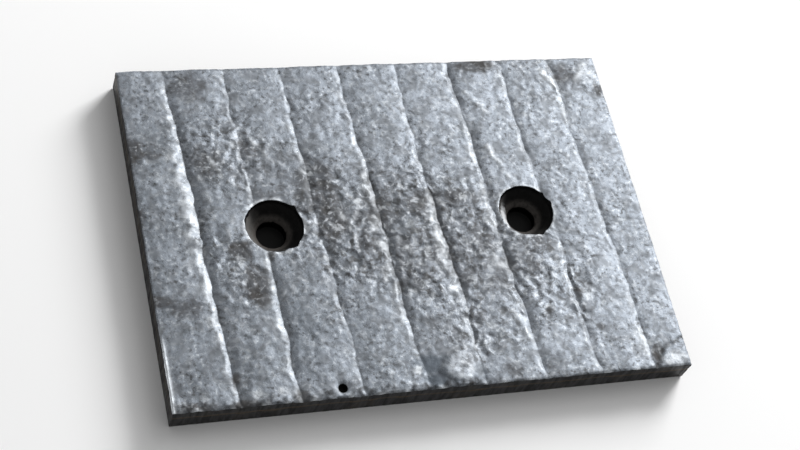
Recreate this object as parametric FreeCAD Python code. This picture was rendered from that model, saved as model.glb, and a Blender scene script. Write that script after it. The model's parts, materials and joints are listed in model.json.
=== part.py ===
# Wear liner: a flat hardfaced steel plate, bolted down through two countersunk holes.
# A mild steel backing carries a layer of hard weld metal, laid as wide beads side by side.
# Welding fuses the two into one solid sheet, and the plate is cut out of that sheet a little
# askew to the beads, so every bead runs off the front and back edges.
# Millimetres. The origin is the centre of the flat mounting face, +X runs along the plate's
# length, +Y away from the viewer and +Z out of the wear face.

import FreeCAD
import Part

import os
from math import ceil, pi, radians, sin, tan

# The plate as cut. The overlay is measured up to a bead's shoulders, below its crown.
plate_length = 300.0
plate_width = 215.0
backing_thickness = 10.0
overlay_thickness = 6.0

# The weld beads, which run from the front edge to the back edge.
bead_pitch = 35.0
first_seam_from_left_edge = 29.2
bead_skew_degrees = 2.3
bead_crown = 0.4
bead_level_change = 0.25

# The seam between two beads is a groove with a wide wall on its left and a steep one on its right.
seam_depth = 1.0
wide_shoulder = 2.8
steep_shoulder = 1.3
seam_wander = 1.1
seam_wander_length = 140.0

# The two bolt holes, for M16 countersunk bolts whose heads sit below the wear face, out of the wear.
hole_spacing = 152.0
bolt_hole_diameter = 17.5
countersink_diameter = 33.0
countersink_angle = 90.0
head_recess = 2.5

# Distance between the sections that a bead is drawn through.
section_spacing = 40.0

# How far the sheet, and the space that each bolt cuts out of it, reach past the finished plate.
sheet_overrun = 10.0
cut_overrun = 5.0

# How much a shoulder bulges, as a share of its height, and how deep a seam goes into the overlay at most.
shoulder_bulge = 0.2
deepest_seam_share = 0.8

shoulder_height = backing_thickness + overlay_thickness
blank_height = shoulder_height + bead_crown + bead_level_change + 1.0


def seam_place(seam, along):
    """Where a seam lies across the sheet. Two waves of unlike length make its slow wander."""
    nominal = first_seam_from_left_edge + bead_pitch * seam - plate_length / 2.0
    turn = 2.0 * pi * along / seam_wander_length
    long_wave = sin(turn + 2.4 * seam)
    short_wave = sin(2.3 * turn + 1.7 * seam + 0.6)
    return nominal + seam_wander * (0.65 * long_wave + 0.35 * short_wave)


def bead_level(bead, along):
    """Height of a bead's shoulders, which differs a little between beads and along each."""
    turn = 2.0 * pi * along / (1.7 * seam_wander_length)
    between_beads = sin(2.1 * bead)
    along_the_bead = sin(turn + bead)
    return shoulder_height + bead_level_change * (0.6 * between_beads + 0.4 * along_the_bead)


def seam_bottom(seam, along):
    """Height of the groove on the right of the bead that has the seam's number."""
    lower_bead = min(bead_level(seam, along), bead_level(seam + 1, along))
    return lower_bead - min(seam_depth, deepest_seam_share * overlay_thickness)


def parabola_over(start, end, bulge):
    """Parabola between two points of a section, raised above its chord by the bulge."""
    control = (start + end) * 0.5 + FreeCAD.Vector(0, 0, 2.0 * bulge)
    curve = Part.BezierCurve()
    curve.setPoles([start, control, end])
    return curve.toShape()


def bead_top(bead, along):
    """Section of one bead's top: a steep shoulder, a flat crown and a wide shoulder."""
    left, right = seam_place(bead - 1, along), seam_place(bead, along)
    level = bead_level(bead, along)
    left_foot = FreeCAD.Vector(left, along, seam_bottom(bead - 1, along))
    left_shoulder = FreeCAD.Vector(left + steep_shoulder, along, level)
    right_shoulder = FreeCAD.Vector(right - wide_shoulder, along, level)
    right_foot = FreeCAD.Vector(right, along, seam_bottom(bead, along))
    return [
        parabola_over(left_foot, left_shoulder, shoulder_bulge * (level - left_foot.z)),
        parabola_over(left_shoulder, right_shoulder, bead_crown),
        parabola_over(right_shoulder, right_foot, shoulder_bulge * (level - right_foot.z)),
    ]


def sheet_section(beads, along):
    """Closed outline of the welded sheet, at one distance along its beads."""
    top = []
    for bead in beads:
        top.extend(bead_top(bead, along))
    start, end = top[0].Vertexes[0].Point, top[-1].Vertexes[-1].Point
    low_start = FreeCAD.Vector(start.x, along, -backing_thickness)
    low_end = FreeCAD.Vector(end.x, along, -backing_thickness)
    right_side = Part.makeLine(end, low_end)
    underside = Part.makeLine(low_end, low_start)
    left_side = Part.makeLine(low_start, start)
    return Part.Wire(top + [right_side, underside, left_side])


def welded_sheet():
    """The sheet that the plate is cut from, which reaches past the plate on every side."""
    lean = abs(tan(radians(bead_skew_degrees)))
    margin = sheet_overrun + 2.0 * seam_wander
    reach_across = 0.5 * (plate_length + lean * plate_width) + margin
    reach_along = 0.5 * (plate_width + lean * plate_length) + margin
    first_seam = first_seam_from_left_edge - plate_length / 2.0
    first_bead = -int(ceil((reach_across + first_seam) / bead_pitch))
    last_bead = int(ceil((reach_across - first_seam) / bead_pitch))
    beads = range(first_bead, last_bead + 1)
    spans = int(ceil(2.0 * reach_along / section_spacing))
    places = [reach_along * (2.0 * k / spans - 1.0) for k in range(spans + 1)]
    sheet = Part.makeLoft([sheet_section(beads, along) for along in places], True, False)
    sheet.rotate(FreeCAD.Vector(0, 0, 0), FreeCAD.Vector(0, 0, 1), bead_skew_degrees)
    return sheet


def cut_outline():
    """Block with the plate's outline, taller than the beads."""
    corner = FreeCAD.Vector(-plate_length / 2.0, -plate_width / 2.0, 0)
    return Part.makeBox(plate_length, plate_width, blank_height, corner)


def bolt_space(x):
    """The space of one bolt: its shank, the cone of its head and the recess above that."""
    shank_radius = bolt_hole_diameter / 2.0
    head_radius = countersink_diameter / 2.0
    cone_top = shoulder_height - head_recess
    cone_depth = (head_radius - shank_radius) / tan(radians(countersink_angle / 2.0))
    outline = [
        (0.0, -cut_overrun),
        (shank_radius, -cut_overrun),
        (shank_radius, cone_top - cone_depth),
        (head_radius, cone_top),
        (head_radius, blank_height + cut_overrun),
        (0.0, blank_height + cut_overrun),
    ]
    corners = [FreeCAD.Vector(radius, 0, height) for radius, height in outline]
    half_section = Part.Face(Part.makePolygon(corners + corners[:1]))
    space = half_section.revolve(FreeCAD.Vector(0, 0, 0), FreeCAD.Vector(0, 0, 1), 360.0)
    space.translate(FreeCAD.Vector(x, 0, 0))
    return space


def liner_plate():
    """The finished plate, as one solid."""
    plate = cut_outline().common(welded_sheet())
    for x in (-hole_spacing / 2.0, hole_spacing / 2.0):
        plate = plate.cut(bolt_space(x))
    return plate.Solids[0]


def extent(points, axis):
    """How far a set of points reaches along one axis."""
    places = [point[axis] for point in points]
    return max(places) - min(places)


def main():
    os.makedirs("parts", exist_ok=True)
    plate = liner_plate()
    plate.exportStep("parts/liner_plate.step")
    points, facets = plate.tessellate(0.1)
    print("liner_plate", "valid", plate.isValid(), "faces", len(plate.Faces))
    print("size", [round(extent(points, axis), 3) for axis in range(3)], "volume", round(plate.Volume))


main()
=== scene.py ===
import json
import math

import bpy
import numpy as np
from mathutils import Matrix, Vector, geometry


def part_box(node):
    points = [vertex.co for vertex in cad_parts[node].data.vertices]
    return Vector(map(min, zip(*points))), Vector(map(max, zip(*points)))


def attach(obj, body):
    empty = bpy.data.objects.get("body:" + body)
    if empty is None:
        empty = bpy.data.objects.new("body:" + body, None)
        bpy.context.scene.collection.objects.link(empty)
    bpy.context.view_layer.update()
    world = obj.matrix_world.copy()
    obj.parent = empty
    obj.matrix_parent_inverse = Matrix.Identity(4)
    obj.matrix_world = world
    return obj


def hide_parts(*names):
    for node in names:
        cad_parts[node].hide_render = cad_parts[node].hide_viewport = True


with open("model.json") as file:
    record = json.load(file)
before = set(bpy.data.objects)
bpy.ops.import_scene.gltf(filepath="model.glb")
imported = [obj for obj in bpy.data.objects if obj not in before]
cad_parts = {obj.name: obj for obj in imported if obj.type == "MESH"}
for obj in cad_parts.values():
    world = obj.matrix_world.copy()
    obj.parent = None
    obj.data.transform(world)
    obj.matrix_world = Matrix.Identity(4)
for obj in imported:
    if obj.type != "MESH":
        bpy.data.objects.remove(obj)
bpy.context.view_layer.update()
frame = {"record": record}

# The hardfaced wear plate, dressed for the render. Lengths are millimetres until the mesh is made.
NODE = "liner_plate"
MM = 0.001

low_corner, high_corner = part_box(NODE)
LENGTH = (high_corner[0] - low_corner[0]) / MM
WIDTH = (high_corner[1] - low_corner[1]) / MM

mounts = {mount["name"]: mount for mount in frame["record"]["mounts"]}
HOLE_SPACING = mounts["bolt_holes"]["dims"]["spacing_x_mm"]
BORE_RADIUS = mounts["bolt_holes"]["dims"]["hole_r_mm"]

# Sizes of the solid that the frame doesn't state.
BACKING = 10.0
OVERLAY = 6.0
SHOULDER = BACKING + OVERLAY
BEAD_PITCH = 35.0
FIRST_SEAM = 29.2 - LENGTH / 2.0
BEAD_SKEW = math.radians(2.3)
BEAD_CROWN = 0.4
LEVEL_CHANGE = 0.25
SEAM_DEPTH = 1.0
WIDE_SHOULDER = 2.8
STEEP_SHOULDER = 1.3
SEAM_WANDER = 1.1
WANDER_LENGTH = 140.0
HEAD_RADIUS = 16.5
CONE_TOP = SHOULDER - 2.5

# The relief is centred this much below the solid's face, so that its peaks stand about as high.
RELIEF_DROP = 0.24

# Eight seams cross the plate. A few more on each side keep every point between two seams.
SEAM_COUNT = 8
SPARE_SEAMS = 2

# How far each seam of the real plate lies to the right of the even pitch that the solid keeps.
SEAM_SHIFTS = (2.4, 1.6, 0.6, 2.2, 1.8, 1.3, 0.0, -1.6)

# How boldly each seam stands out, at five places spread evenly from the front edge to the back edge.
SEAM_BOLDNESS = (
    (0.1, 0.7, 1.1, 1.15, -0.05),
    (0.6, 0.55, 0.55, 0.12, -0.1),
    (0.15, 0.05, 0.2, 0.3, -0.1),
    (-0.6, 0.8, 0.95, 0.3, 0.05),
    (-0.35, 0.8, 0.9, 0.05, 0.0),
    (0.2, 1.0, 0.7, 0.5, 0.5),
    (0.25, 0.3, 0.3, 0.35, 0.4),
    (0.4, 0.2, 0.1, 0.15, 0.1),
)

# Marks on the wear face, placed from its front left corner: middle, reach across and along, strength.
STAINS = (
    ((52.0, 92.0), (9.0, 9.0), 1.0),
    ((58.0, 70.0), (10.0, 15.0), 1.0),
    ((4.0, 65.0), (8.0, 4.5), 1.0),
    ((16.0, 60.0), (12.0, 7.0), 0.7),
    ((2.0, 160.0), (8.0, 10.0), 1.0),
    ((43.0, 150.0), (12.0, 13.0), 0.7),
    ((68.0, 158.0), (10.0, 7.0), 0.7),
    # The mark at (40, 202) is painted shadow near the back edge.
    ((40.0, 202.0), (13.0, 12.0), 0.8),
    ((102.0, 132.0), (17.0, 25.0), 0.8),
    ((108.0, 108.0), (12.0, 15.0), 0.95),
    ((138.0, 112.0), (14.0, 12.0), 0.85),
    ((185.0, 119.0), (34.0, 8.0), 0.65),
    ((160.0, 117.0), (11.0, 9.0), 0.85),
    ((165.0, 87.0), (9.0, 12.0), 0.7),
    ((224.0, 87.0), (17.0, 13.0), 0.6),
    ((150.0, 98.0), (62.0, 46.0), 0.5),
    ((192.0, 78.0), (40.0, 27.0), 0.55),
    ((170.0, 34.0), (36.0, 28.0), 0.28),
    ((220.0, 211.0), (17.0, 6.0), 1.0),
    ((276.0, 202.0), (10.0, 9.0), 0.8),
    ((297.0, 190.5), (4.0, 5.5), 1.0),
    ((70.5, 3.5), (5.5, 4.5), 1.0),
    ((14.0, 2.5), (8.0, 3.5), 0.9),
    ((39.0, 1.5), (9.0, 3.5), 0.9),
    ((53.0, 6.0), (4.0, 2.5), 0.5),
    ((36.5, 17.0), (3.0, 4.0), 0.9),
    ((192.0, 8.0), (9.0, 5.0), 0.6),
    ((243.5, 52.0), (3.0, 6.0), 0.9),
    ((251.0, 29.0), (3.2, 2.8), 0.9),
    ((223.0, 42.0), (3.0, 3.4), 0.9),
    ((65.5, 161.0), (4.0, 5.0), 0.9),
    ((75.0, 138.0), (26.0, 22.0), 0.35),
    ((1.0, 163.0), (3.5, 7.0), 1.0),
    ((281.0, 10.0), (5.0, 6.0), 1.0),
    ((68.5, 89.5), (3.0, 4.5), 0.9),
    ((191.0, 9.0), (4.5, 3.0), 0.8),
    ((252.0, 205.0), (12.0, 10.0), 0.22),
    ((174.0, 87.0), (3.2, 6.0), 0.8),
    ((14.0, 160.0), (7.0, 6.0), 0.5),
    ((0.5, 117.0), (3.0, 7.0), 0.8),
    ((64.5, 161.0), (3.0, 4.0), 0.9),
    ((59.0, 188.0), (3.0, 4.0), 0.5),
)
# Patches where the weld metal froze smooth, with a bluish heat tint.
TINTS = (
    ((146.0, 15.0), (13.0, 7.0), 1.0),
    ((150.0, 5.5), (13.0, 5.5), 1.0),
    ((172.0, 7.0), (6.0, 5.0), 0.8),
    ((80.0, 35.0), (12.0, 30.0), 0.3),
)
# Painted highlights: patches painted nearly white where the light catches the metal.
PAINTED_HIGHLIGHTS = (
    ((162.0, 12.0), (12.0, 9.5), 0.32),
    ((291.0, 5.0), (9.0, 5.0), 0.7),
    ((292.0, 202.0), (8.0, 8.0), 0.35),
    ((136.5, 12.5), (3.0, 3.0), 0.9),
    ((6.0, 3.5), (3.0, 3.0), 0.8),
    ((18.5, 8.0), (3.0, 3.0), 0.6),
    ((47.0, 6.5), (4.0, 3.0), 0.7),
    ((60.5, 7.5), (3.5, 3.0), 0.7),
    ((249.0, 51.0), (4.0, 6.0), 0.3),
    ((274.0, 19.0), (3.5, 9.0), 0.5),
    ((214.9, 107.0), (2.8, 8.5), 1.0),
    ((263.8, 203.3), (2.0, 3.6), 0.9),
    ((267.6, 197.0), (2.0, 4.4), 0.8),
    ((269.4, 180.0), (1.8, 14.0), 0.2),
    ((168.0, 91.0), (2.6, 7.5), 0.9),
    ((133.0, 127.5), (1.8, 6.0), 0.6),
)
ROUGH_PATCHES = (
    ((150.0, 98.0), (72.0, 60.0), 1.0),
    ((60.0, 155.0), (32.0, 26.0), 0.7),
    ((48.0, 80.0), (20.0, 26.0), 0.7),
    ((225.0, 60.0), (42.0, 26.0), 0.8),
    ((180.0, 40.0), (30.0, 22.0), 0.8),
    ((268.0, 203.0), (24.0, 14.0), 0.3),
)
# Cracks: start, end, width and strength.
CRACKS = (
    ((278.0, -1.0), (282.0, 8.0), 1.3, 1.0),
    ((282.0, 8.0), (290.0, 14.0), 0.9, 1.0),
    ((290.0, 14.0), (301.0, 19.0), 0.9, 1.0),
    ((0.0, 64.0), (13.0, 60.0), 0.9, 0.5),
    ((13.0, 60.0), (27.0, 62.0), 0.9, 0.35),
)
# Raised streaks that the weld metal has left on the beads, which also carry painted highlight: start, end, width
# and strength.
STREAKS = (
    ((208.0, 192.0), (219.0, 177.0), 1.4, 1.4),
    ((213.0, 153.0), (221.0, 130.0), 1.4, 1.4),
    ((200.5, 43.0), (207.0, 26.0), 1.4, 1.4),
    ((70.0, 165.0), (81.0, 149.0), 1.2, 1.0),
    ((45.0, 153.0), (50.0, 140.0), 1.2, 1.0),
    ((52.0, 138.0), (62.0, 132.0), 1.2, 1.0),
    ((37.0, 141.0), (40.0, 125.0), 1.2, 0.8),
    ((143.0, 95.0), (153.0, 78.0), 1.2, 0.8),
    ((262.5, 205.5), (269.5, 193.0), 2.0, 2.4),
    ((269.5, 194.0), (269.5, 166.0), 1.6, 0.6),
    ((284.0, 199.0), (292.0, 210.0), 1.6, 1.0),
    ((167.0, 97.0), (169.0, 84.0), 1.8, 1.5),
    ((134.0, 102.0), (136.0, 58.0), 1.3, 0.9),
    ((152.5, 105.0), (154.5, 98.0), 1.3, 1.3),
    ((118.5, 129.0), (125.5, 118.5), 1.2, 1.0),
    ((125.5, 118.5), (119.5, 108.0), 1.2, 0.9),
    ((110.0, 117.0), (117.5, 105.0), 1.2, 0.9),
    ((117.5, 105.0), (118.5, 94.0), 1.4, 1.1),
    ((52.0, 116.0), (47.0, 104.0), 1.3, 0.7),
)
# Nicks in the mouths of the two holes: direction in degrees, depth, half width in degrees.
HOLE_NICKS = (
    ((40.0, 1.4, 7.0), (-52.0, 1.0, 6.0), (-71.0, -0.9, 6.0), (165.0, 0.6, 8.0)),
    ((40.0, 1.2, 5.0), (16.0, 1.0, 7.0), (-69.0, 1.1, 6.0), (-95.0, -0.7, 8.0)),
)
PIT = (93.0, 6.0)
PIT_RADIUS = 2.7
LUMP = (162.0, 11.5)
# The side of each hole's cone that is painted in shade, and the side that is painted lit, anticlockwise from the
# plate's length.
SHADED_SIDE_DIRECTION = math.radians(38.0)
LIT_SIDE_DIRECTION = math.radians(186.0)

# How finely the plate is drawn.
ROWS = 216
MIDDLE_STEP = 1.25
STEEP_STEPS = (0.0, 0.4, 0.85, 1.35, 2.0, 2.9)
WIDE_STEPS = (3.9, 3.1, 2.5, 1.9, 1.35, 0.85, 0.4)
BLOCK_REACH = 20.5
BLOCK_RINGS = 9
WALL_RINGS = 15


# Noise and other small helpers on arrays of points.
def fade(t):
    return t * t * t * (t * (6.0 * t - 15.0) + 10.0)


def ramp(value, start, end):
    """Smooth rise from 0 at start to 1 at end."""
    t = np.clip((value - start) / (end - start), 0.0, 1.0)
    return t * t * (3.0 - 2.0 * t)


def noise(x, y, cell, seed):
    """Smooth gradient noise of about -1 to 1, with features as large as the cell."""
    angles = np.random.default_rng(seed).uniform(0.0, 2.0 * math.pi, (256, 256))
    px, py = x / cell, y / cell
    column, row = np.floor(px).astype(int), np.floor(py).astype(int)
    fx, fy = px - column, py - row

    def corner(dx, dy):
        angle = angles[(column + dx) % 256, (row + dy) % 256]
        return np.cos(angle) * (fx - dx) + np.sin(angle) * (fy - dy)

    sx, sy = fade(fx), fade(fy)
    near = corner(0, 0) * (1.0 - sx) + corner(1, 0) * sx
    far = corner(0, 1) * (1.0 - sx) + corner(1, 1) * sx
    return 1.6 * (near * (1.0 - sy) + far * sy)


def layered(x, y, cell, seed, layers=3):
    """Noise with finer noise on it, each layer half as large and half as strong."""
    total = np.zeros_like(x)
    for layer in range(layers):
        total = total + noise(x, y, cell / 2.0 ** layer, seed + 31 * layer) / 2.0 ** layer
    return total


def blotch(u, v, middle, reach, seed):
    """A mark with an uneven outline: 1 well inside it and 0 outside."""
    distance = np.hypot((u - middle[0]) / reach[0], (v - middle[1]) / reach[1])
    return 1.0 - ramp(distance + 0.24 * layered(u, v, 0.7 * min(reach), seed), 0.5, 1.15)


def strongest(u, v, patches, seed):
    """Several blotches together, each with its own strength."""
    total = np.zeros_like(u)
    for number, (middle, reach, strength) in enumerate(patches):
        total = np.maximum(total, strength * blotch(u, v, middle, reach, seed + number))
    return total


def line_mark(u, v, start, end, width):
    """A mark along a line between two points, 1 at its middle."""
    run = (end[0] - start[0], end[1] - start[1])
    share = ((u - start[0]) * run[0] + (v - start[1]) * run[1]) / (run[0] ** 2 + run[1] ** 2)
    share = np.clip(share, 0.0, 1.0)
    distance = np.hypot(u - start[0] - share * run[0], v - start[1] - share * run[1])
    return np.exp(-(distance / width) ** 2)


# The wear face.
def seam_place(seam, along):
    """Where a seam lies across the sheet: the solid's slow wander, with finer kinks on it."""
    turn = 2.0 * math.pi * along / WANDER_LENGTH
    wander = 0.65 * np.sin(turn + 2.4 * seam) + 0.35 * np.sin(2.3 * turn + 1.7 * seam + 0.6)
    lane = along * 0.0 + 37.0 * seam
    kinks = 1.1 * noise(along, lane, 19.0, 5) + 0.8 * noise(along, lane, 8.0, 6)
    kinks = kinks + 0.35 * noise(along, lane, 3.4, 7)
    shift = SEAM_SHIFTS[seam] if 0 <= seam < SEAM_COUNT else 0.0
    return FIRST_SEAM + BEAD_PITCH * seam + shift + SEAM_WANDER * wander + kinks


def sheet_place(x, y):
    """Turns a place on the plate into distances across and along the beads of its sheet."""
    across = x * math.cos(BEAD_SKEW) + y * math.sin(BEAD_SKEW)
    along = -x * math.sin(BEAD_SKEW) + y * math.cos(BEAD_SKEW)
    return across, along


def bead_level(bead, along):
    turn = 2.0 * math.pi * along / (1.7 * WANDER_LENGTH)
    return SHOULDER + LEVEL_CHANGE * (0.6 * np.sin(2.1 * bead) + 0.4 * np.sin(turn + bead))


def boldness(seam, along):
    """How boldly a seam stands out, from about 0 to 1."""
    levels = np.array(SEAM_BOLDNESS)
    line = np.clip(seam, 0, SEAM_COUNT - 1).astype(int)
    last = levels.shape[1] - 1
    place = np.clip(last * (along / WIDTH + 0.5), 0.0, last)
    station = np.minimum(place.astype(int), last - 1)
    share = place - station
    level = levels[line, station] * (1.0 - share) + levels[line, station + 1] * share
    breaks = 0.35 * noise(along, 50.0 * seam, 15.0, 11) + 0.4 * noise(along, 50.0 * seam, 5.5, 13)
    return np.clip(level + breaks, 0.0, 1.2)


def shoulder_fall(distance, width):
    """How far a bead has dropped into its seam, from 0 at the shoulder to 1 at the foot."""
    t = np.clip(1.0 - distance / width, 0.0, 1.0)
    return t * (0.7 + 0.3 * t)


def stop_lump(u, v):
    """The lump left where a bead was stopped, low and flat, with swirls on it, and its dark rim."""
    bend = 1.6 * noise(u, v, 6.0, 51)
    distance = np.hypot((u - LUMP[0] + bend) / 1.2, v - LUMP[1] + bend)
    swirl = np.sin(distance / 1.5 + np.arctan2(v - LUMP[1], u - LUMP[0]))
    lump = (0.38 + 0.05 * swirl) * np.exp(-(distance / 8.8) ** 6)
    return lump, np.exp(-((distance - 9.8) / 1.2) ** 2)


def edge_highlight(u, v):
    """Painted highlight on the burr along the left edge near the front, and in places along the front edge."""
    left = np.exp(-(u / 2.0) ** 2) * ramp(52.0 - v + 12.0 * noise(u * 0.0, v, 9.0, 54), 0.0, 22.0)
    front = np.exp(-v / 0.9) * ramp(noise(u, v * 0.0, 9.0, 55) + 0.5 * noise(u, v * 0.0, 3.5, 56), 0.1, 0.5)
    return np.maximum(left, 0.9 * front)


def wear_face(x, y):
    """Height of the wear face at points of the plate, and the marks that its finish reads."""
    across, along = sheet_place(x, y)
    seams = np.array([seam_place(seam, along) for seam in range(-SPARE_SEAMS, SEAM_COUNT + SPARE_SEAMS)])
    index = np.sum(across > seams, axis=0)
    left = np.take_along_axis(seams, (index - 1)[None, :], 0)[0]
    right = np.take_along_axis(seams, index[None, :], 0)[0]
    bead = index - float(SPARE_SEAMS)
    from_left, from_right = across - left, right - across
    place = 2.0 * from_left / (right - left) - 1.0

    # The grooves, deeper and bolder in some stretches than in others.
    bold_left, bold_right = boldness(bead - 1.0, along), boldness(bead, along)
    width_right = 0.75 + 0.4 * bold_right + 0.6 * bold_right ** 3 + 0.45 * noise(along, 50.0 * bead, 6.0, 12)
    width_right = WIDE_SHOULDER * np.maximum(width_right, 0.4)
    width_left = STEEP_SHOULDER * np.clip(2.9 + 1.6 * noise(along, 50.0 * bead, 8.0, 15), 1.4, 4.2)
    fall = SEAM_DEPTH * (0.08 + 0.74 * bold_left) * shoulder_fall(from_left, width_left)
    fall = fall + SEAM_DEPTH * (0.08 + 0.74 * bold_right) * shoulder_fall(from_right, width_right)
    lumps = np.clip(1.0 + 0.8 * noise(along, 50.0 * bead, 6.5, 14), 0.0, 2.0)
    ridge = bold_right * lumps * np.exp(-((from_right - 0.8 * width_right) / (0.5 * width_right)) ** 2)
    level = bead_level(bead, along)
    step_left, step_right = bead_level(bead - 1.0, along) - level, bead_level(bead + 1.0, along) - level
    level = level + 0.5 * step_left * np.exp(-(from_left / 7.0) ** 2)
    level = level + 0.5 * step_right * np.exp(-(from_right / 7.0) ** 2)
    height = level + BEAD_CROWN * (1.0 - place * place) - fall + 0.2 * ridge

    # The frozen surface of the weld metal: slow swells, wrinkles, and ripples across the bead.
    u, v = x + LENGTH / 2.0, y + WIDTH / 2.0
    bend_x = x + 2.6 * noise(x, y, 9.0, 21)
    bend_y = y + 2.6 * noise(x, y, 9.0, 22)
    rough = strongest(u, v, ROUGH_PATCHES, 71) + 0.3 * noise(x, y, 30.0, 25) + 0.3 * noise(x, y, 11.0, 29)
    rough = np.clip(0.12 + 0.85 * rough, 0.0, 1.0)
    height = height + 0.15 * layered(x, y, 19.0, 23, 2)
    wrinkle = 1.0 - np.abs(noise(bend_x, bend_y, 8.0, 24)) * 2.4
    height = height + (0.08 + 0.3 * rough) * np.clip(wrinkle, -0.6, 1.0)
    height = height + (0.04 + 0.32 * rough) * noise(bend_x, bend_y, 4.6, 26)
    height = height + (0.03 + 0.06 * rough) * noise(bend_x, bend_y, 2.4, 28) - RELIEF_DROP
    arc_phase = (along + 6.0 * place * place + 2.0 * noise(x, y, 12.0, 27)) / 3.8
    rippled = ramp(noise(x, y, 24.0, 30), -0.2, 0.5)
    height = height + (0.01 + 0.03 * rippled) * np.sin(2.0 * math.pi * arc_phase)
    height = height + 0.3 * np.exp(-((u - 0.9) / 0.8) ** 2) * ramp(50.0 - v, 0.0, 20.0)

    # The cut has thrown up crumbs along the front edge.
    crumbs = np.clip(noise(x, y, 3.6, 32), -0.3, 1.0) * ramp(7.5 - v + 3.0 * noise(x, y * 0.0, 11.0, 33), 0.0, 5.0)
    height = height + 0.55 * crumbs * ramp(230.0 - u, 0.0, 90.0)

    # Single marks: a pit, a lump, and cracks at the left edge and the front right corner.
    pit = np.exp(-(np.hypot(u - PIT[0], v - PIT[1]) / PIT_RADIUS) ** 2)
    crack = np.zeros_like(x)
    for start, end, width, strength in CRACKS:
        bent_v = v + 1.6 * noise(x, y, 7.0, 58)
        line = line_mark(u + 0.8 * noise(x, y, 4.0, 52), bent_v, start, end, width)
        crack = np.maximum(crack, strength * line)
    lump, lump_rim = stop_lump(u, v)
    height = height + lump - 1.6 * pit - 0.5 * crack
    streak = np.zeros_like(x)
    for start, end, width, strength in STREAKS:
        line = line_mark(u + 1.2 * noise(x, y, 6.0, 61), v, start, end, width)
        streak = np.maximum(streak, strength * line * np.clip(1.0 + noise(x, y, 5.0, 62), 0.6, 1.5))
    height = height + 0.2 * streak

    hole = np.hypot(np.abs(x) - HOLE_SPACING / 2.0, y) - HEAD_RADIUS
    lip = ramp(4.0 - v + 3.5 * noise(x, y * 0.0, 7.0, 53) + 2.5 * noise(x, y, 3.6, 34), 0.0, 2.0)
    lip = lip * (0.45 + 0.55 * ramp(215.0 - u, 0.0, 80.0))
    centre_x = np.sign(x) * HOLE_SPACING / 2.0
    shaded_side = (x - centre_x) * math.cos(SHADED_SIDE_DIRECTION) + y * math.sin(SHADED_SIDE_DIRECTION)
    lit_side = (x - centre_x) * math.cos(LIT_SIDE_DIRECTION) + y * math.sin(LIT_SIDE_DIRECTION)
    # Painted highlight on the wide shoulder of each seam, where the light catches it.
    breadth = np.where(bead < 1.5, 0.9, 0.7) * width_right
    shine = (0.25 + bold_right) * lumps * np.exp(-((from_right - 0.65 * width_right) / breadth) ** 2)
    # Painted shade beside the steep side of each seam.
    shade = 0.12 * bold_left * np.exp(-(from_left / 2.4) ** 2)
    # Painted sheen: the metal is painted lighter to the right and towards the back, less steeply near the front
    # and back edges.
    sheen_slope = 0.5 * (1.0 - 1.1 * (2.0 * y / WIDTH) ** 2)
    from_centre = np.hypot(x - centre_x, y)
    low_cone = ramp(from_centre + noise(x, y, 3.0, 59), 0.55 * HEAD_RADIUS, 0.8 * HEAD_RADIUS)
    marks = {
        # Painted highlight on the seams' wide shoulders and on the raised streaks.
        "ridge": np.clip(np.maximum(shine, streak), 0.0, 1.5),
        # Painted shade at the bottom of the seams' grooves.
        "groove_shade": (0.1 + 0.7 * np.maximum(bold_left, bold_right)) * np.maximum(
            np.exp(-from_left / 0.6), np.exp(-from_right / 0.35)),
        "shade": shade,
        "rough": rough,
        "stain": strongest(u, v, STAINS, 81),
        "tint": strongest(u, v, TINTS, 91),
        "gleam": strongest(u, v, PAINTED_HIGHLIGHTS, 96),
        # Painted shade on the side of each cone turned away from the light.
        "cone_shade": ramp(shaded_side / HEAD_RADIUS + 0.25 * noise(x, y, 5.0, 57), -0.5, 0.2) * (0.3 + 0.7 * low_cone),
        # Painted light on the side of each cone that faces the light.
        "lit_side": ramp(lit_side / HEAD_RADIUS + 0.25 * noise(x, y, 5.0, 60), 0.25, 0.8),
        "burnt": np.clip(0.9 * crack + 0.8 * lip + 0.45 * lump_rim, 0.0, 1.0),
        # Painted highlight along the left edge near the front and in places along the front edge.
        "edge": edge_highlight(u, v),
        # Painted highlight in a ring just outside each hole's mouth.
        "mouth_highlight": np.exp(-((hole - 0.9) / 0.9) ** 2),
        # Painted sheen, lighter to the right and back.
        "tone_and_sheen": np.clip(0.61 + sheen_slope * x / LENGTH + 0.12 * y / WIDTH, 0.0, 0.75),
    }
    return height, marks


def seam_in_rows(seam, rows):
    """Where a seam crosses each row of the plate."""
    x = np.full_like(rows, FIRST_SEAM + BEAD_PITCH * seam)
    for _ in range(5):
        _, along = sheet_place(x, rows)
        x = (seam_place(seam, along) - rows * math.sin(BEAD_SKEW)) / math.cos(BEAD_SKEW)
    return x


def bead_columns(left, right, left_steps, right_steps):
    """Places of one bead's columns of points in every row, close together in its shoulders."""
    start = left + left_steps[-1]
    end = right - (right_steps[0] if right_steps else 0.0)
    spaces = int(round(np.mean(end - start) / MIDDLE_STEP))
    columns = [left + step for step in left_steps]
    columns += [start + (end - start) * k / spaces for k in range(1, spaces)]
    if right_steps:
        columns += [right - step for step in right_steps]
    return columns


def column_places(rows, left_edge, right_edge):
    """Places of all the columns of points in every row. The seams run along columns."""
    edges = [left_edge] + [seam_in_rows(seam, rows) for seam in range(SEAM_COUNT)] + [right_edge]
    columns = []
    for number in range(SEAM_COUNT + 1):
        right_steps = WIDE_STEPS if number < SEAM_COUNT else ()
        columns += bead_columns(edges[number], edges[number + 1], STEEP_STEPS, right_steps)
    return np.array(columns + [right_edge]).T


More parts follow.
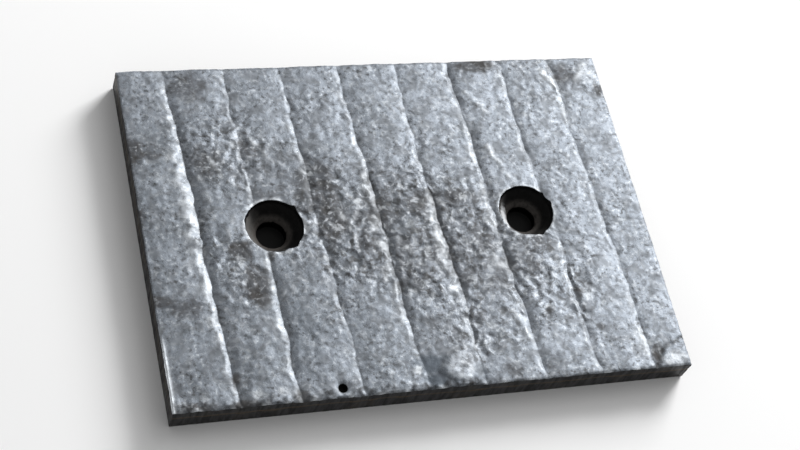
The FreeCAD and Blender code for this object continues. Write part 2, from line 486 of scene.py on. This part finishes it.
# The mesh, gathered as points, faces and marks on the points.
class Parts:
    def __init__(self):
        self.points = []
        self.faces = []
        self.kinds = []
        self.count = 0

    def add(self, x, y, z):
        """Add points, and give back their numbers in the shape of the arrays."""
        x, y, z = np.broadcast_arrays(x, y, z)
        numbers = self.count + np.arange(x.size).reshape(x.shape)
        self.points.append(np.stack([x.ravel(), y.ravel(), z.ravel()], axis=1))
        self.count += x.size
        return numbers

    def quads(self, numbers, kind, keep=None):
        """Faces between the rows and columns of an array of point numbers."""
        a, b = numbers[:-1, :-1], numbers[:-1, 1:]
        c, d = numbers[1:, 1:], numbers[1:, :-1]
        cells = np.stack([a, b, c, d], axis=-1)
        cells = cells[keep] if keep is not None else cells.reshape(-1, 4)
        self.faces.extend(map(tuple, cells.tolist()))
        self.kinds.extend([kind] * len(cells))

    def all_points(self):
        return np.concatenate(self.points)


WEAR_FACE, CUT_EDGE, COUNTERSINK, UNDERSIDE = range(4)


def block_round(x, y, centre_x):
    """The columns and rows, low and high, of the block of grid cells round a hole."""
    columns = [int(np.argmin(np.abs(x[ROWS // 2] - centre_x - reach))) for reach in (-BLOCK_REACH, BLOCK_REACH)]
    rows = [int(np.argmin(np.abs(y[:, 0] - reach))) for reach in (-BLOCK_REACH, BLOCK_REACH)]
    return columns, rows


def block_rim(numbers, columns, rows):
    """Point numbers round a block of grid cells, anticlockwise from its lower left corner."""
    block = numbers[rows[0]:rows[1] + 1, columns[0]:columns[1] + 1]
    return plate_rim(block)


def plate_rim(numbers):
    """Point numbers round the whole grid, anticlockwise from its lower left corner."""
    return np.concatenate([numbers[0, :-1], numbers[:-1, -1], numbers[-1, :0:-1], numbers[:0:-1, 0]])


def closed(ring):
    return np.concatenate([ring, ring[:1]])


def add_hole(parts, rim, centre_x, nicks, seed):
    """The fan of faces round one hole, its countersink and its bore. Gives the bore's last ring."""
    outer = parts.all_points()[rim]
    angle = np.arctan2(outer[:, 1], outer[:, 0] - centre_x)
    ca, sa = np.cos(angle), np.sin(angle)
    turn_x, turn_y = 9.0 * ca, 9.0 * sa

    chips = 0.16 * noise(turn_x, turn_y, 2.6, seed) + 0.1 * noise(turn_x, turn_y, 1.1, seed + 1)
    for nick_angle, nick_size, nick_width in nicks:
        swing = (np.degrees(angle) - nick_angle + 180.0) % 360.0 - 180.0
        chips = chips + nick_size * np.exp(-(swing / nick_width) ** 2)
    chips = np.clip(chips, -0.9, 1.4)
    mouth_radius = HEAD_RADIUS + chips

    # The wear face between the block's rim and the hole.
    rings = [rim]
    for ring in range(1, BLOCK_RINGS + 1):
        t = (ring / BLOCK_RINGS) ** 0.85
        x = outer[:, 0] * (1.0 - t) + (centre_x + (mouth_radius + 0.25) * ca) * t
        y = outer[:, 1] * (1.0 - t) + (mouth_radius + 0.25) * sa * t
        height, _ = wear_face(x, y)
        rings.append(parts.add(x, y, height))
    parts.quads(np.array([closed(ring) for ring in rings]), WEAR_FACE)

    # The ragged mouth and the straight wall below it.
    mouth, _ = wear_face(centre_x + mouth_radius * ca, mouth_radius * sa)
    steps = [(mouth_radius, mouth - 0.22)]
    wall_rings = 5
    for ring in range(1, wall_rings + 1):
        t = ring / wall_rings
        z = (mouth - 0.22) * (1.0 - t) + CONE_TOP * t
        ragged = chips * (1.0 - t) ** 1.6 + 0.12 * (1.0 - t) * noise(2.0 * turn_x, 2.0 * turn_y + 0.3 * z, 1.3, seed + 2)
        steps.append((HEAD_RADIUS + ragged, z))

    # The cone, with the tool's chatter in it, and the bore.
    cone_low = CONE_TOP - (HEAD_RADIUS - BORE_RADIUS)
    cone_rings = 15
    for ring in range(1, cone_rings + 1):
        t = ring / cone_rings
        z = CONE_TOP * (1.0 - t) + cone_low * t
        radius = BORE_RADIUS + (z - cone_low)
        chatter = 0.10 * np.sin(2.0 * math.pi * z / 1.45 + 0.5 * noise(turn_x, turn_y, 4.0, seed + 3))
        chatter = chatter + 0.07 * noise(turn_x, turn_y + 3.0 * z, 1.6, seed + 4)
        radius = radius + chatter * (1.0 if ring < cone_rings else 0.3)
        steps.append((radius, z))
    bore_rings = 6
    for ring in range(1, bore_rings + 1):
        z = cone_low * (1.0 - ring / bore_rings)
        wall = 0.05 * noise(2.0 * turn_x, 2.0 * turn_y + 0.4 * z, 1.5, seed + 5)
        steps.append((BORE_RADIUS + wall * (1.0 if ring < bore_rings else 0.0), z))
    down = [rings[-1]]
    for radius, z in steps:
        down.append(parts.add(centre_x + radius * ca, radius * sa, z))
    parts.quads(np.array([closed(ring) for ring in down]), COUNTERSINK)
    return down[-1]


def add_walls(parts, rim):
    """The cut edges, from the wear face's rim down to the mounting face. Gives the lowest ring."""
    top = parts.all_points()[rim]
    outward = np.zeros((len(rim), 2))
    outward[:, 0] = np.where(np.isclose(np.abs(top[:, 0]), LENGTH / 2.0, atol=1.0), np.sign(top[:, 0]), 0.0)
    outward[:, 1] = np.where(np.isclose(np.abs(top[:, 1]), WIDTH / 2.0, atol=1.0), np.sign(top[:, 1]), 0.0)
    base_x = np.clip(top[:, 0] + outward[:, 0] * 3.0, -LENGTH / 2.0, LENGTH / 2.0)
    base_y = np.clip(top[:, 1] + outward[:, 1] * 3.0, -WIDTH / 2.0, WIDTH / 2.0)
    run = base_x + base_y * 1.37
    rings = [rim]
    for ring in range(1, WALL_RINGS + 1):
        t = (ring / WALL_RINGS) ** 1.15
        z = top[:, 2] * (1.0 - t)
        drag = 0.07 * noise(run + 0.05 * z * z * 0.1, 0.25 * z, 1.7, 41)
        drag = drag + 0.05 * noise(run, z, 5.0, 42) - 0.12
        fusion = -0.12 * np.exp(-((z - BACKING + 0.5 * noise(run, z * 0.0, 9.0, 43)) / 0.7) ** 2)
        lower = -0.25 * np.exp(-z / 0.5)
        push = drag + fusion + lower
        last = ring == WALL_RINGS
        rings.append(parts.add(base_x + outward[:, 0] * push, base_y + outward[:, 1] * push, 0.0 if last else z))
    parts.quads(np.array([closed(ring) for ring in rings]), CUT_EDGE)
    return rings[-1]


def add_underside(parts, outline, bores):
    """The flat mounting face, with its two holes."""
    points = parts.all_points()
    loops = [outline] + bores
    polygons = [[Vector(points[number]) for number in loop] for loop in loops]
    numbers = np.concatenate(loops)
    for corner in geometry.tessellate_polygon(polygons):
        triangle = [int(numbers[place]) for place in corner]
        a, b, c = points[triangle[0]], points[triangle[1]], points[triangle[2]]
        area = (b[0] - a[0]) * (c[1] - a[1]) - (b[1] - a[1]) * (c[0] - a[0])
        parts.faces.append(tuple(triangle if area < 0.0 else triangle[::-1]))
        parts.kinds.append(UNDERSIDE)


def ragged_inset(run, seed):
    """How far the cut's upper edge falls back from the plate's outline, in millimetres."""
    slow = 0.22 + 0.22 * noise(run, run * 0.0, 11.0, seed)
    return np.clip(slow + 0.16 * noise(run, run * 0.0, 3.0, seed + 1), 0.02, 1.2)


def build_plate():
    parts = Parts()
    rows = np.linspace(-WIDTH / 2.0, WIDTH / 2.0, ROWS + 1)
    left_edge = -LENGTH / 2.0 + ragged_inset(rows, 61)
    right_edge = LENGTH / 2.0 - ragged_inset(rows, 63)
    x = column_places(rows, left_edge, right_edge)
    y = np.repeat(rows[:, None], x.shape[1], axis=1)
    y[0, :] += ragged_inset(x[0], 65)
    y[-1, :] -= ragged_inset(x[-1], 67)
    height, _ = wear_face(x.ravel(), y.ravel())
    height = height.reshape(x.shape)
    rounding = np.zeros_like(height)
    rounding[:, [0, -1]] = 0.3
    rounding[[0, -1], :] = 0.3
    grid = parts.add(x, y, height - rounding)

    keep = np.ones((grid.shape[0] - 1, grid.shape[1] - 1), dtype=bool)
    bores = []
    for number, nicks in enumerate(HOLE_NICKS):
        centre_x = (number - 0.5) * HOLE_SPACING
        block_columns, block_rows = block_round(x, y, centre_x)
        keep[slice(*block_rows), slice(*block_columns)] = False
        rim = block_rim(grid, block_columns, block_rows)
        bores.append(add_hole(parts, rim, centre_x, nicks, 80 + 7 * number))
    parts.quads(grid, WEAR_FACE, keep)
    lowest = add_walls(parts, plate_rim(grid))
    add_underside(parts, lowest, bores)

    points = parts.all_points()
    used = np.zeros(len(points), dtype=bool)
    for face in parts.faces:
        used[list(face)] = True
    renumber = np.cumsum(used) - 1
    faces = [tuple(int(renumber[n]) for n in face) for face in parts.faces]
    points = points[used]

    mesh = bpy.data.meshes.new("wear_plate")
    mesh.from_pydata((points * MM).tolist(), [], faces)
    mesh.polygons.foreach_set("material_index", parts.kinds)
    _, marks = wear_face(points[:, 0], points[:, 1])
    for name, values in marks.items():
        layer = mesh.attributes.new(name, "FLOAT", "POINT")
        layer.data.foreach_set("value", values.astype(np.float32))
    mesh.update()
    mesh.validate()
    mesh.shade_smooth()
    mesh.set_sharp_from_angle(angle=math.radians(50.0))
    plate = bpy.data.objects.new("wear_plate", mesh)
    bpy.context.scene.collection.objects.link(plate)
    return plate


# Colours of the wear face, as linear red, green and blue.
WEAR_DARK = (0.252, 0.281, 0.319)
WEAR_LIGHT = (0.352, 0.389, 0.441)
# Oxide in the mottled patches, and painted shade beside the seams.
OXIDE_AND_SHADE = (0.16, 0.165, 0.172)
WEAR_PITS = (0.075, 0.075, 0.075)
WEAR_STAIN = (0.05, 0.047, 0.046)
WEAR_TINT = (0.105, 0.125, 0.15)
# Near white: the bright flecks in the metal, and the painted highlights.
BRIGHT_FLECK_AND_HIGHLIGHT = (0.74, 0.78, 0.82)
# Dark scale of the cracks and the cut lip, and painted shade in the seams' grooves.
CREASE_SHADE_AND_SCALE = (0.025, 0.024, 0.024)
# Painted shade in the pit.
PIT_SHADE = (0.002, 0.002, 0.002)


# Node materials.
class Nodes:
    """Short calls for making and joining a material's nodes."""

    def __init__(self, name):
        self.material = bpy.data.materials.new(name)
        self.material.use_nodes = True
        self.tree = self.material.node_tree
        self.shader = self.tree.nodes["Principled BSDF"]
        self.place = self.tree.nodes.new("ShaderNodeTexCoord").outputs["Object"]

    def link(self, source, target):
        if isinstance(source, bpy.types.NodeSocket):
            self.tree.links.new(source, target)
        else:
            target.default_value = source

    def noise(self, size_mm, detail=4.0, roughness=0.55, distortion=0.0, stretch=None):
        node = self.tree.nodes.new("ShaderNodeTexNoise")
        node.inputs["Scale"].default_value = 1.0 / (size_mm * MM)
        node.inputs["Detail"].default_value = detail
        node.inputs["Roughness"].default_value = roughness
        node.inputs["Distortion"].default_value = distortion
        source = self.place
        if stretch:
            mapping = self.tree.nodes.new("ShaderNodeMapping")
            mapping.inputs["Scale"].default_value = stretch
            self.link(self.place, mapping.inputs["Vector"])
            source = mapping.outputs["Vector"]
        self.link(source, node.inputs["Vector"])
        return node.outputs["Fac"]

    def height(self):
        """Height above the mounting face, in metres."""
        node = self.tree.nodes.new("ShaderNodeSeparateXYZ")
        self.link(self.place, node.inputs["Vector"])
        return node.outputs["Z"]

    def distance_to(self, x, y):
        """Distance from the upright line through a place on the plate, in metres."""
        flat = self.tree.nodes.new("ShaderNodeVectorMath")
        flat.operation = "MULTIPLY"
        flat.inputs[1].default_value = (1.0, 1.0, 0.0)
        self.link(self.place, flat.inputs[0])
        node = self.tree.nodes.new("ShaderNodeVectorMath")
        node.operation = "DISTANCE"
        node.inputs[1].default_value = (x * MM, y * MM, 0.0)
        self.link(flat.outputs["Vector"], node.inputs[0])
        return node.outputs["Value"]

    def mark(self, name):
        node = self.tree.nodes.new("ShaderNodeAttribute")
        node.attribute_name = name
        return node.outputs["Fac"]

    def math(self, operation, a, b=0.0, clamp=False):
        node = self.tree.nodes.new("ShaderNodeMath")
        node.operation = operation
        node.use_clamp = clamp
        self.link(a, node.inputs[0])
        self.link(b, node.inputs[1])
        return node.outputs[0]

    def span(self, value, low, high, out_low=0.0, out_high=1.0):
        node = self.tree.nodes.new("ShaderNodeMapRange")
        node.interpolation_type = "SMOOTHSTEP"
        for name, number in (("From Min", low), ("From Max", high), ("To Min", out_low), ("To Max", out_high)):
            node.inputs[name].default_value = number
        self.link(value, node.inputs["Value"])
        return node.outputs["Result"]

    def blend(self, amount, first, second):
        node = self.tree.nodes.new("ShaderNodeMix")
        node.data_type = "RGBA"
        self.link(amount, node.inputs["Factor"])
        for colour, target in ((first, node.inputs["A"]), (second, node.inputs["B"])):
            if isinstance(colour, tuple):
                colour = (*colour, 1.0)
            self.link(colour, target)
        return node.outputs["Result"]

    def bump(self, height, depth_mm, strength=1.0):
        node = self.tree.nodes.new("ShaderNodeBump")
        node.inputs["Distance"].default_value = depth_mm * MM
        node.inputs["Strength"].default_value = strength
        self.link(height, node.inputs["Height"])
        return node.outputs["Normal"]


def wear_face_material():
    """Weld metal: bluish grey with dark stains and flecks, a painted sheen lighter to the right, painted
    highlights on the seam ridges, edges and hole mouths, and painted shade in the seams and the pit.
    """
    n = Nodes("hardfaced weld metal")
    cloud = n.noise(26.0, 4.0, 0.6)
    mottle = n.noise(8.0, 4.0, 0.6, 0.8)
    speckle = n.noise(4.6, 3.0, 0.6, 0.6)
    # The metal's tone: painted sheen from the mark, with random cloud on it.
    tone_and_sheen = n.math("ADD", n.mark("tone_and_sheen"), n.span(cloud, 0.3, 0.7, -0.35, 0.35))
    base = n.blend(n.span(tone_and_sheen, 0.0, 1.0), WEAR_DARK, WEAR_LIGHT)
    base = n.blend(n.span(mottle, 0.55, 0.38, 0.0, 0.4), base, OXIDE_AND_SHADE)
    stain = n.math("MULTIPLY", n.mark("stain"), n.span(mottle, 0.35, 0.6, 1.0, 0.72))
    base = n.blend(stain, base, WEAR_STAIN)
    rough = n.mark("rough")
    fleck = n.noise(2.3, 2.0, 0.5)
    busy = n.span(n.noise(16.0, 3.0, 0.6), 0.38, 0.62, 0.3, 1.0)
    base = n.blend(n.math("MULTIPLY", busy, n.span(fleck, 0.44, 0.34, 0.0, 0.75)), base, WEAR_PITS)
    base = n.blend(n.math("MULTIPLY", busy, n.span(fleck, 0.56, 0.68, 0.0, 0.45)), base, BRIGHT_FLECK_AND_HIGHLIGHT)
    grit = n.span(rough, 0.0, 1.0, 0.4, 1.0)
    base = n.blend(n.math("MULTIPLY", grit, n.span(speckle, 0.49, 0.34, 0.0, 0.8)), base, WEAR_PITS)
    base = n.blend(n.math("MULTIPLY", grit, n.span(speckle, 0.54, 0.68, 0.0, 0.45)), base, BRIGHT_FLECK_AND_HIGHLIGHT)
    base = n.blend(n.math("MULTIPLY", n.mark("tint"), 0.85), base, WEAR_TINT)
    # Painted highlights in the gleam patches.
    base = n.blend(n.math("MULTIPLY", n.mark("gleam"), n.span(speckle, 0.36, 0.56, 0.2, 0.9)), base, BRIGHT_FLECK_AND_HIGHLIGHT)
    base = n.blend(n.mark("shade"), base, OXIDE_AND_SHADE)
    # Painted highlight along the seams and streaks, broken up by noise.
    broken = n.span(n.noise(6.0), 0.38, 0.6, 0.08, 0.45)
    base = n.blend(n.math("MULTIPLY", n.mark("ridge"), broken), base, BRIGHT_FLECK_AND_HIGHLIGHT)
    # Painted highlight round the holes' mouths.
    base = n.blend(n.math("MULTIPLY", n.mark("mouth_highlight"), n.span(speckle, 0.4, 0.6, 0.1, 0.7)), base, BRIGHT_FLECK_AND_HIGHLIGHT)
    # Painted shade in the bottoms of the grooves.
    base = n.blend(n.math("MULTIPLY", n.mark("groove_shade"), 0.35), base, CREASE_SHADE_AND_SCALE)
    base = n.blend(n.math("MULTIPLY", n.mark("burnt"), n.span(speckle, 0.35, 0.6, 1.0, 0.6)), base, CREASE_SHADE_AND_SCALE)
    # Painted highlight along the edges.
    base = n.blend(n.mark("edge"), base, BRIGHT_FLECK_AND_HIGHLIGHT)
    # Painted shade: the pit is painted black, with no specular, as shade in its hollow.
    pit = n.span(n.distance_to(PIT[0] - LENGTH / 2.0, PIT[1] - WIDTH / 2.0), 1.15 * PIT_RADIUS * MM, 0.9 * PIT_RADIUS * MM)
    base = n.blend(pit, base, PIT_SHADE)
    n.link(base, n.shader.inputs["Base Color"])
    dull = n.math("MAXIMUM", stain, n.span(mottle, 0.6, 0.36, 0.0, 0.5))
    dull = n.math("MAXIMUM", dull, pit)
    n.link(n.span(dull, 0.3, 1.0, 0.75, 0.4), n.shader.inputs["Metallic"])
    n.link(n.span(dull, 0.0, 1.0, 0.24, 0.46), n.shader.inputs["Roughness"])
    n.link(n.span(pit, 0.0, 1.0, 0.5, 0.0), n.shader.inputs["Specular IOR Level"])
    grain = n.math("MULTIPLY", n.noise(2.6, 3.0, 0.5), n.span(rough, 0.0, 1.0, 0.6, 1.4))
    n.link(n.bump(grain, 0.2), n.shader.inputs["Normal"])
    return n.material


def cut_edge_material():
    """The thermally cut edges: dark scale, painted near black so that it also stands in for shade, with a brown
    line where the overlay meets the backing.
    """
    n = Nodes("flame cut edge")
    streak = n.noise(2.4, 5.0, 0.6, 0.0, (1.0, 1.0, 0.15))
    patch = n.noise(14.0, 4.0, 0.6)
    height = n.height()
    # Dark scale, painted darker still as shade.
    base = n.blend(n.span(streak, 0.35, 0.65), (0.009, 0.009, 0.0095), (0.026, 0.026, 0.027))
    base = n.blend(n.span(patch, 0.5, 0.68, 0.0, 0.7), base, (0.036, 0.031, 0.025))
    wavy = n.math("ADD", height, n.span(patch, 0.2, 0.8, -0.0012, 0.0012))
    above = n.span(wavy, (BACKING - 1.2) * MM, (BACKING - 0.2) * MM)
    below = n.span(wavy, (BACKING + 1.0) * MM, (BACKING + 0.1) * MM)
    fusion = n.math("MULTIPLY", above, below)
    base = n.blend(n.math("MULTIPLY", fusion, 0.75), base, (0.07, 0.05, 0.031))
    n.link(base, n.shader.inputs["Base Color"])
    n.shader.inputs["Metallic"].default_value = 0.35
    n.shader.inputs["Specular IOR Level"].default_value = 0.2
    n.link(n.span(streak, 0.3, 0.7, 0.62, 0.42), n.shader.inputs["Roughness"])
    n.link(n.bump(streak, 0.35), n.shader.inputs["Normal"])
    return n.material


def countersink_material():
    """The hole: dark grey steel, lighter in a band low in the backing, with painted shade near black on the
    straight wall at its mouth, on one side of the cone and down the bore, and a painted lit side on the cone.
    """
    n = Nodes("machined countersink")
    patch = n.noise(3.0, 4.0, 0.6)
    height = n.height()
    uneven = n.math("ADD", height, n.span(patch, 0.2, 0.8, -0.0008, 0.0008))
    steel = n.blend(n.span(patch, 0.35, 0.65), (0.022, 0.021, 0.02), (0.06, 0.057, 0.054))
    # Painted light on the lit side of the cone.
    steel = n.blend(n.mark("lit_side"), steel, (0.1, 0.097, 0.093))
    # Painted shade, near black, on the straight wall below the mouth.
    base = n.blend(n.span(uneven, (CONE_TOP - 0.8) * MM, (CONE_TOP + 0.2) * MM), steel, (0.006, 0.006, 0.0065))
    # Painted shade, near black, on the side of the cone away from the light.
    base = n.blend(n.math("MULTIPLY", n.mark("cone_shade"), 0.93), base, (0.003, 0.003, 0.003))
    ring = n.math("MULTIPLY", n.span(uneven, 9.4 * MM, 7.4 * MM), n.span(patch, 0.3, 0.55, 0.3, 0.8))
    base = n.blend(ring, base, (0.09, 0.082, 0.076))
    # Painted highlight where a gleam patch reaches into the hole.
    base = n.blend(n.mark("gleam"), base, (0.7, 0.72, 0.74))
    # Painted shade, near black, down the bore.
    base = n.blend(n.span(uneven, 5.6 * MM, 4.8 * MM), base, (0.002, 0.002, 0.002))
    n.link(base, n.shader.inputs["Base Color"])
    n.shader.inputs["Metallic"].default_value = 0.1
    n.shader.inputs["Roughness"].default_value = 0.55
    n.shader.inputs["Specular IOR Level"].default_value = 0.1
    n.link(n.bump(n.noise(0.9, 3.0), 0.15), n.shader.inputs["Normal"])
    return n.material


def underside_material():
    """The rolled backing's own skin: blue grey mill scale, with rust where it has flaked."""
    n = Nodes("mill scale")
    patch = n.noise(22.0, 6.0, 0.6, 0.6)
    flake = n.noise(6.0, 6.0, 0.7, 1.0)
    base = n.blend(n.span(patch, 0.3, 0.7), (0.045, 0.048, 0.056), (0.10, 0.105, 0.115))
    base = n.blend(n.span(flake, 0.56, 0.66, 0.0, 0.7), base, (0.16, 0.085, 0.045))
    n.link(base, n.shader.inputs["Base Color"])
    n.shader.inputs["Metallic"].default_value = 0.3
    n.link(n.span(flake, 0.5, 0.66, 0.42, 0.7), n.shader.inputs["Roughness"])
    n.link(n.bump(flake, 0.12), n.shader.inputs["Normal"])
    return n.material


# The studio.
FLOOR_COLOUR = (0.9, 0.9, 0.9)
# Painted shade on the floor under the plate.
COVERED_SHADE = (0.006, 0.006, 0.006)
CEILING_LEVEL = 0.25
LIGHT_DIRECTION = (0.6, 0.46, 0.655)
LIGHT_TIGHTNESS = 16.0
LIGHT_LEVEL = 2.6
LAMP_DIRECTION = (0.66, 0.63, 0.41)
LAMP_DISTANCE = 2.4
LAMP_SIZE = 0.9
LAMP_POWER = 84.0


def make_floor():
    """A plain pale floor. Where the plate covers it, it is painted dark as shade, so that the bores show dark too.
    """
    bpy.ops.mesh.primitive_plane_add(size=8.0, location=(0.0, 0.0, low_corner[2]))
    floor = bpy.context.active_object
    floor.name = "studio_floor"
    n = Nodes("pale floor")
    split = n.tree.nodes.new("ShaderNodeSeparateXYZ")
    n.link(n.place, split.inputs["Vector"])
    shade = None
    for axis, size in (("X", LENGTH), ("Y", WIDTH)):
        distance = n.math("ABSOLUTE", split.outputs[axis])
        covered = n.span(distance, (size / 2.0 - 12.0) * MM, (size / 2.0 - 20.0) * MM)
        shade = n.math("MULTIPLY", shade, covered) if shade else covered
    # Painted shade under the plate.
    n.link(n.blend(shade, FLOOR_COLOUR, COVERED_SHADE), n.shader.inputs["Base Color"])
    n.shader.inputs["Roughness"].default_value = 0.9
    floor.data.materials.append(n.material)


def make_world():
    """A studio with white walls, a grey ceiling and one broad light, low on the right behind the plate."""
    world = bpy.data.worlds.new("studio")
    bpy.context.scene.world = world
    world.use_nodes = True
    nodes, links = world.node_tree.nodes, world.node_tree.links
    background = nodes["Background"]
    place = nodes.new("ShaderNodeTexCoord").outputs["Generated"]

    def math_node(operation, source, *values):
        node = nodes.new("ShaderNodeMath")
        node.operation = operation
        links.new(source, node.inputs[0])
        for socket, value in zip(node.inputs[1:], values):
            socket.default_value = value
        return node

    split = nodes.new("ShaderNodeSeparateXYZ")
    links.new(place, split.inputs["Vector"])
    walls = nodes.new("ShaderNodeMapRange")
    walls.interpolation_type = "SMOOTHSTEP"
    for name, number in (("From Min", 0.15), ("From Max", 0.5), ("To Min", 1.0), ("To Max", CEILING_LEVEL)):
        walls.inputs[name].default_value = number
    links.new(split.outputs["Z"], walls.inputs["Value"])

    towards = nodes.new("ShaderNodeVectorMath")
    towards.operation = "DOT_PRODUCT"
    towards.inputs[1].default_value = LIGHT_DIRECTION
    links.new(place, towards.inputs[0])
    ahead = math_node("MAXIMUM", towards.outputs["Value"], 0.0)
    lobe = math_node("POWER", ahead.outputs[0], LIGHT_TIGHTNESS)
    level = math_node("MULTIPLY_ADD", lobe.outputs[0], LIGHT_LEVEL)
    links.new(walls.outputs["Result"], level.inputs[2])
    links.new(level.outputs[0], background.inputs["Strength"])
    background.inputs["Color"].default_value = (1.0, 1.0, 1.0, 1.0)


def make_softbox(name, place, size, power):
    data = bpy.data.lights.new(name, "AREA")
    data.shape = "RECTANGLE"
    data.size, data.size_y = size
    data.energy = power
    lamp = bpy.data.objects.new(name, data)
    lamp.location = place
    lamp.visible_glossy = False
    lamp.rotation_euler = (-Vector(place)).to_track_quat("-Z", "Y").to_euler()
    bpy.context.scene.collection.objects.link(lamp)


def make_camera():
    """The photo's place of the camera over this plate, turned to look at it, with a longer lens."""
    aim = Vector((0.0, 0.0, 0.008))
    azimuth, elevation, distance = math.radians(-35.0), math.radians(55.5), 0.98
    level_part = distance * math.cos(elevation)
    eye = aim + Vector((
        math.sin(azimuth) * level_part,
        -math.cos(azimuth) * level_part,
        distance * math.sin(elevation),
    ))
    roll = math.radians(26.4)
    data = bpy.data.cameras.new("camera")
    data.lens = 76.8
    data.sensor_width = 36.0
    camera = bpy.data.objects.new("camera", data)
    level = (aim - eye).to_track_quat("-Z", "Y").to_matrix().to_4x4()
    camera.matrix_world = Matrix.Translation(eye) @ level @ Matrix.Rotation(roll, 4, "Z")
    bpy.context.scene.collection.objects.link(camera)
    bpy.context.scene.camera = camera


def main():
    make_camera()
    bpy.context.scene.view_settings.view_transform = "Standard"
    plate = build_plate()
    for material in (wear_face_material(), cut_edge_material(), countersink_material(), underside_material()):
        plate.data.materials.append(material)
    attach(plate, "root")
    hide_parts(NODE)
    make_floor()
    make_world()
    lamp_place = tuple(LAMP_DISTANCE * step for step in LAMP_DIRECTION)
    make_softbox("softbox", lamp_place, (LAMP_SIZE, LAMP_SIZE), LAMP_POWER)


main()
